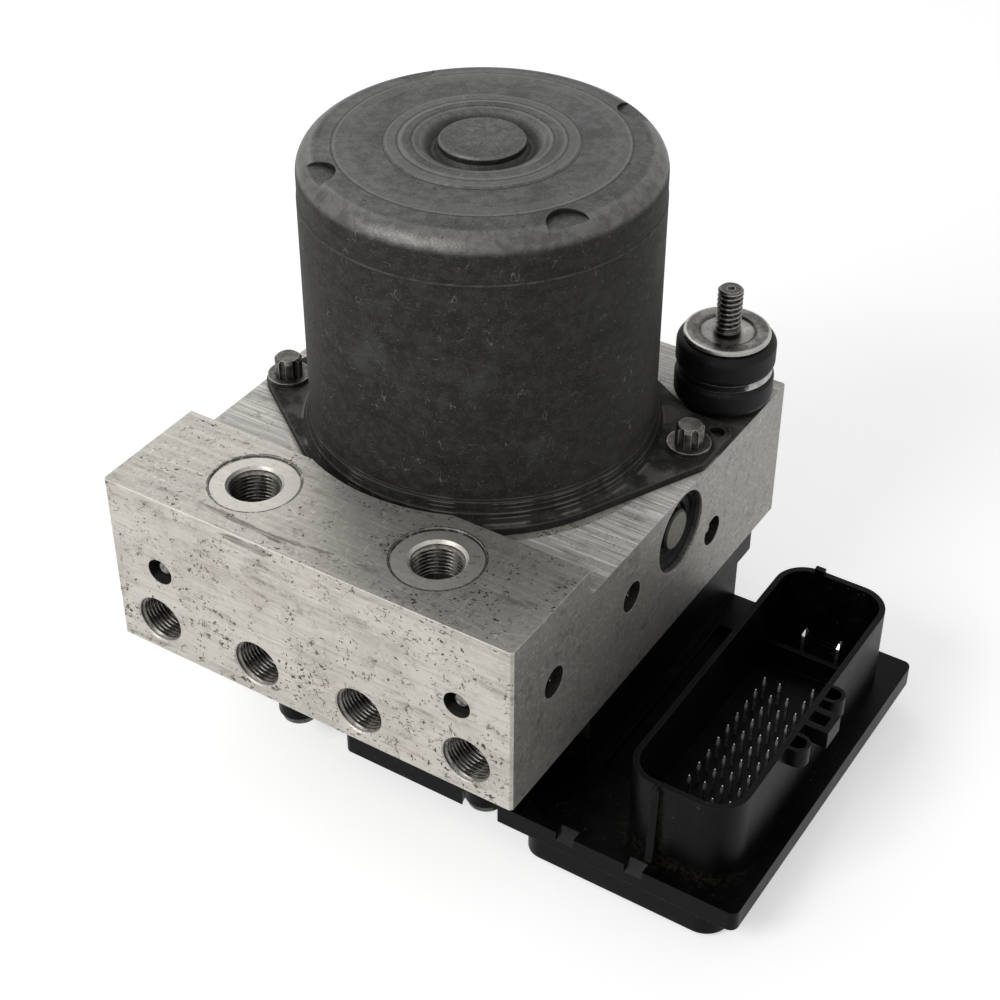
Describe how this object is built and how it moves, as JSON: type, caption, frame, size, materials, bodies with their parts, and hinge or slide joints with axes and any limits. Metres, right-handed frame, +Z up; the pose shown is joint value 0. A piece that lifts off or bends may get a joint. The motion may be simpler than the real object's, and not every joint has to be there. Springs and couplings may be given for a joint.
{
  "type": "abs brake module",
  "caption": "Hydraulic brake control unit: machined aluminium valve block with a round pump motor on top, an isolator mount beside it and a control unit with an open connector below.",
  "frame": {"origin": "on the pump motor's axis, in the underside of the control unit's cover", "axes": "+Z up along the motor's axis, -Y out of the face with the wheel brake ports, +X towards the connector"},
  "size_m": [0.1536, 0.123, 0.1409],
  "materials": {
    "machined_aluminium": "milled and turned faces",
    "can_steel": "dark coated drawn steel",
    "bolt_steel": "zinc plated",
    "mount_steel": "dull plated",
    "band_steel": "bright",
    "isolator_rubber": "matt moulded",
    "seal_rubber": "matt moulded",
    "black_plastic": "fine grained moulding",
    "moulded_plastic": "moulded",
    "ball_steel": "polished",
    "plug_steel": "turned",
    "tinned_contacts": "tin plated",
    "copper": "enamelled copper",
    "bearing_steel": "ground",
    "core_steel": "stamped electrical steel",
    "magnet": "sintered",
    "carbon": "pressed carbon",
    "valve_steel": "turned",
    "spring_steel": "drawn wire",
    "piston_aluminium": "anodised",
    "board": "coated board",
    "chips": "moulded packages"
  },
  "bodies": {
    "unit": {"accumulator_caps": "plug_steel", "accumulator_spring_left": "spring_steel", "accumulator_spring_right": "spring_steel", "bearing_plate": "core_steel", "brush_holder": "moulded_plastic", "brush_springs": "spring_steel", "brushes": "carbon", "circuit_board": "board", "circuit_components": "chips", "coil_yokes": "core_steel", "connector_shroud": "black_plastic", "ecu_cover": "black_plastic", "ecu_housing": "black_plastic", "ecu_screws": "bolt_steel", "ecu_seal": "seal_rubber", "inlet_valve_bodies": "valve_steel", "inlet_valve_springs": "spring_steel", "isolator_band": "band_steel", "isolator_lower_rubber": "isolator_rubber", "isolator_seat": "mount_steel", "isolator_stud": "mount_steel", "isolator_upper_rubber": "isolator_rubber", "lower_bearing": "bearing_steel", "motor_bolts": "bolt_steel", "motor_can": "can_steel", "motor_lead": "moulded_plastic", "motor_magnets": "magnet", "outlet_valve_bodies": "valve_steel", "outlet_valve_springs": "spring_steel", "pin_carriers": "black_plastic", "plunger_spring_left": "spring_steel", "plunger_spring_right": "spring_steel", "power_pins": "tinned_contacts", "pump_plug_rings": "seal_rubber", "pump_plugs": "plug_steel", "pump_sleeves": "bearing_steel", "sealing_balls": "ball_steel", "signal_pins": "tinned_contacts", "upper_bearing": "bearing_steel", "valve_block": "machined_aluminium", "valve_coils": "copper"},
    "rotor": {"motor_shaft": "bearing_steel", "armature_core": "core_steel", "armature_winding": "copper", "commutator": "copper", "eccentric": "bearing_steel"},
    "race": {"eccentric_bearing": "bearing_steel"},
    "plunger_left": {"plunger_left": "bearing_steel"},
    "plunger_right": {"plunger_right": "bearing_steel"},
    "piston_left": {"accumulator_piston_left": "piston_aluminium"},
    "piston_right": {"accumulator_piston_right": "piston_aluminium"},
    "inlet_armature_1": {"inlet_armature_1": "valve_steel"},
    "outlet_armature_1": {"outlet_armature_1": "valve_steel"},
    "inlet_armature_2": {"inlet_armature_2": "valve_steel"},
    "outlet_armature_2": {"outlet_armature_2": "valve_steel"},
    "inlet_armature_3": {"inlet_armature_3": "valve_steel"},
    "outlet_armature_3": {"outlet_armature_3": "valve_steel"},
    "inlet_armature_4": {"inlet_armature_4": "valve_steel"},
    "outlet_armature_4": {"outlet_armature_4": "valve_steel"}
  },
  "joints": [
    {"name": "motor_spin", "type": "hinge", "parent": "unit", "child": "rotor", "pos_m": [0, 0, 0.1], "axis": [0, 0, 1], "continuous": true},
    {"name": "race_spin", "type": "hinge", "parent": "rotor", "child": "race", "pos_m": [0.001, 0, 0.0569], "axis": [0, 0, 1], "continuous": true},
    {"name": "pump_stroke_left", "type": "slide", "parent": "unit", "child": "plunger_left", "axis": [-1, 0, 0], "range_m": [0, 0.002], "stiffness_N_per_m": 800, "springref_m": -0.005, "deforming": ["plunger_spring_left"]},
    {"name": "pump_stroke_right", "type": "slide", "parent": "unit", "child": "plunger_right", "axis": [1, 0, 0], "range_m": [0, 0.002], "stiffness_N_per_m": 800, "springref_m": -0.005, "deforming": ["plunger_spring_right"]},
    {"name": "accumulator_stroke_left", "type": "slide", "parent": "unit", "child": "piston_left", "axis": [0, 1, 0], "range_m": [0, 0.004], "stiffness_N_per_m": 1200, "springref_m": -0.006, "deforming": ["accumulator_spring_left"]},
    {"name": "accumulator_stroke_right", "type": "slide", "parent": "unit", "child": "piston_right", "axis": [0, 1, 0], "range_m": [0, 0.004], "stiffness_N_per_m": 1200, "springref_m": -0.006, "deforming": ["accumulator_spring_right"]},
    {"name": "inlet_valve_1", "type": "slide", "parent": "unit", "child": "inlet_armature_1", "axis": [0, 0, 1], "range_m": [0, 0.0003], "stiffness_N_per_m": 500, "springref_m": -0.002, "deforming": ["inlet_valve_springs"]},
    {"name": "inlet_valve_2", "type": "slide", "parent": "unit", "child": "inlet_armature_2", "axis": [0, 0, 1], "range_m": [0, 0.0003], "stiffness_N_per_m": 500, "springref_m": -0.002, "deforming": ["inlet_valve_springs"]},
    {"name": "inlet_valve_3", "type": "slide", "parent": "unit", "child": "inlet_armature_3", "axis": [0, 0, 1], "range_m": [0, 0.0003], "stiffness_N_per_m": 500, "springref_m": -0.002, "deforming": ["inlet_valve_springs"]},
    {"name": "inlet_valve_4", "type": "slide", "parent": "unit", "child": "inlet_armature_4", "axis": [0, 0, 1], "range_m": [0, 0.0003], "stiffness_N_per_m": 500, "springref_m": -0.002, "deforming": ["inlet_valve_springs"]},
    {"name": "outlet_valve_1", "type": "slide", "parent": "unit", "child": "outlet_armature_1", "axis": [0, 0, 1], "range_m": [-0.0003, 0], "stiffness_N_per_m": 500, "springref_m": 0.003, "deforming": ["outlet_valve_springs"]},
    {"name": "outlet_valve_2", "type": "slide", "parent": "unit", "child": "outlet_armature_2", "axis": [0, 0, 1], "range_m": [-0.0003, 0], "stiffness_N_per_m": 500, "springref_m": 0.003, "deforming": ["outlet_valve_springs"]},
    {"name": "outlet_valve_3", "type": "slide", "parent": "unit", "child": "outlet_armature_3", "axis": [0, 0, 1], "range_m": [-0.0003, 0], "stiffness_N_per_m": 500, "springref_m": 0.003, "deforming": ["outlet_valve_springs"]},
    {"name": "outlet_valve_4", "type": "slide", "parent": "unit", "child": "outlet_armature_4", "axis": [0, 0, 1], "range_m": [-0.0003, 0], "stiffness_N_per_m": 500, "springref_m": 0.003, "deforming": ["outlet_valve_springs"]}
  ],
  "couplings": [
    {"joint": "race_spin", "follows": "motor_spin", "ratio": -1}
  ]
}
